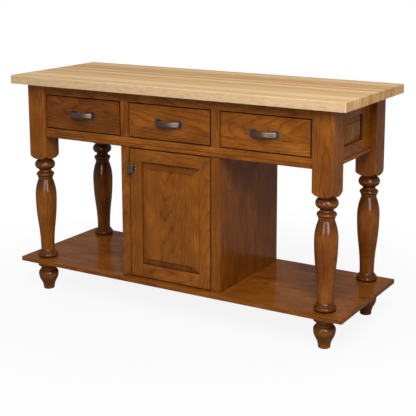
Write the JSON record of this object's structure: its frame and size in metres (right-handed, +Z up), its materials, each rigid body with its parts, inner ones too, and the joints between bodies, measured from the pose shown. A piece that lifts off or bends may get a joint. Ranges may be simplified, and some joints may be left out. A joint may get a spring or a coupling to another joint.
{
  "type": "kitchen island",
  "caption": "Freestanding kitchen island with a butcher-block top, turned legs, drawers, a small cabinet with a raised-panel door and an open lower shelf.",
  "frame": {"origin": "on the floor under the middle of the worktop", "axes": "+X along the island, -Y out of the drawer fronts, +Z up"},
  "size_m": [1.482, 0.551, 0.914],
  "materials": {
    "stained_wood": "satin lacquer",
    "butcher_block": "oiled",
    "clear_maple": "satin lacquer",
    "dark_pewter": "brushed and darkened",
    "zinc_steel": "zinc plated",
    "brass_leaf": "plain",
    "brown_plastic": "matt"
  },
  "bodies": {
    "base": {"butcher_block_top": "butcher_block", "leg_front_left": "stained_wood", "leg_front_right": "stained_wood", "leg_back_left": "stained_wood", "leg_back_right": "stained_wood", "turned_feet": "stained_wood", "leg_bolts": "zinc_steel", "lower_shelf": "stained_wood", "front_top_rail": "stained_wood", "front_bottom_rail": "stained_wood", "front_stiles": "stained_wood", "apron_beads": "stained_wood", "left_apron_frame": "stained_wood", "left_apron_panel": "stained_wood", "right_apron_frame": "stained_wood", "right_apron_panel": "stained_wood", "back_apron_frame": "stained_wood", "back_apron_panels": "stained_wood", "cabinet_side_left": "stained_wood", "cabinet_side_right": "stained_wood", "cabinet_stiles": "stained_wood", "cabinet_back_frame": "stained_wood", "cabinet_back_panel": "stained_wood", "cabinet_shelf": "clear_maple", "shelf_pins": "zinc_steel", "drawer_partitions": "clear_maple", "slide_cleats": "clear_maple", "slide_outer_channels": "zinc_steel", "top_clips": "zinc_steel", "hinge_leaves_frame": "brass_leaf", "magnetic_catch": "brown_plastic"},
    "door": {"door_stiles": "stained_wood", "door_rails": "stained_wood", "door_panel": "stained_wood", "door_knob": "dark_pewter", "knob_screw": "zinc_steel", "hinge_leaves_door": "brass_leaf", "catch_plate": "zinc_steel"},
    "left_drawer": {"left_drawer_front": "stained_wood", "left_drawer_box": "clear_maple", "left_drawer_bottom": "clear_maple", "left_drawer_pull": "dark_pewter", "left_drawer_pull_screws": "zinc_steel", "left_drawer_slide_inners": "zinc_steel"},
    "left_drawer_runners": {"left_drawer_slide_middles": "zinc_steel"},
    "middle_drawer": {"middle_drawer_front": "stained_wood", "middle_drawer_box": "clear_maple", "middle_drawer_bottom": "clear_maple", "middle_drawer_pull": "dark_pewter", "middle_drawer_pull_screws": "zinc_steel", "middle_drawer_slide_inners": "zinc_steel"},
    "middle_drawer_runners": {"middle_drawer_slide_middles": "zinc_steel"},
    "right_drawer": {"right_drawer_front": "stained_wood", "right_drawer_box": "clear_maple", "right_drawer_bottom": "clear_maple", "right_drawer_pull": "dark_pewter", "right_drawer_pull_screws": "zinc_steel", "right_drawer_slide_inners": "zinc_steel"},
    "right_drawer_runners": {"right_drawer_slide_middles": "zinc_steel"}
  },
  "joints": [
    {"name": "door_hinge", "type": "hinge", "parent": "base", "child": "door", "pos_m": [0.176, -0.227, 0.402], "axis": [0, 0, 1], "range_deg": [0, 110]},
    {"name": "left_drawer_slide", "type": "slide", "parent": "base", "child": "left_drawer", "axis": [0, -1, 0], "range_m": [0, 0.38]},
    {"name": "left_drawer_runner_slide", "type": "slide", "parent": "base", "child": "left_drawer_runners", "axis": [0, -1, 0], "range_m": [0, 0.19]},
    {"name": "middle_drawer_slide", "type": "slide", "parent": "base", "child": "middle_drawer", "axis": [0, -1, 0], "range_m": [0, 0.38]},
    {"name": "middle_drawer_runner_slide", "type": "slide", "parent": "base", "child": "middle_drawer_runners", "axis": [0, -1, 0], "range_m": [0, 0.19]},
    {"name": "right_drawer_slide", "type": "slide", "parent": "base", "child": "right_drawer", "axis": [0, -1, 0], "range_m": [0, 0.38]},
    {"name": "right_drawer_runner_slide", "type": "slide", "parent": "base", "child": "right_drawer_runners", "axis": [0, -1, 0], "range_m": [0, 0.19]}
  ],
  "couplings": [
    {"joint": "left_drawer_runner_slide", "follows": "left_drawer_slide", "ratio": 0.5},
    {"joint": "middle_drawer_runner_slide", "follows": "middle_drawer_slide", "ratio": 0.5},
    {"joint": "right_drawer_runner_slide", "follows": "right_drawer_slide", "ratio": 0.5}
  ]
}
